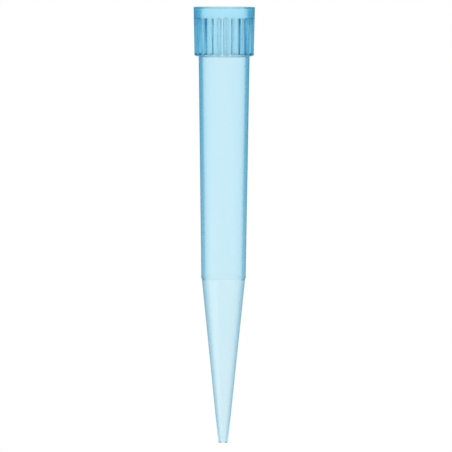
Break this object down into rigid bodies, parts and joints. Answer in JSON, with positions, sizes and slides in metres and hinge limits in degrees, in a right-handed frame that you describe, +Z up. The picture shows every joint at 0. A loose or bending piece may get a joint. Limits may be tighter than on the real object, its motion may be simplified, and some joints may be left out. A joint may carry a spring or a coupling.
{
  "type": "pipette tip",
  "caption": "Long hollow translucent tip with a fluted collar, a straight barrel and a fine open nose, pushed on a pipette's nozzle to draw up and dispense liquid.",
  "frame": {"origin": "centre of the mouth rim's flat face, which the tip stands on when it is set down on its head", "axes": "+Z runs up through the collar and barrel to the point; X and Y lie in the mouth rim's plane, with a grip rib facing +X"},
  "size_m": [0.01, 0.01, 0.0715],
  "materials": {
    "blue_polypropylene": "translucent light blue moulded plastic with a soft gloss"
  },
  "bodies": {
    "root": {"pipette_tip": "blue_polypropylene"}
  },
  "joints": []
}
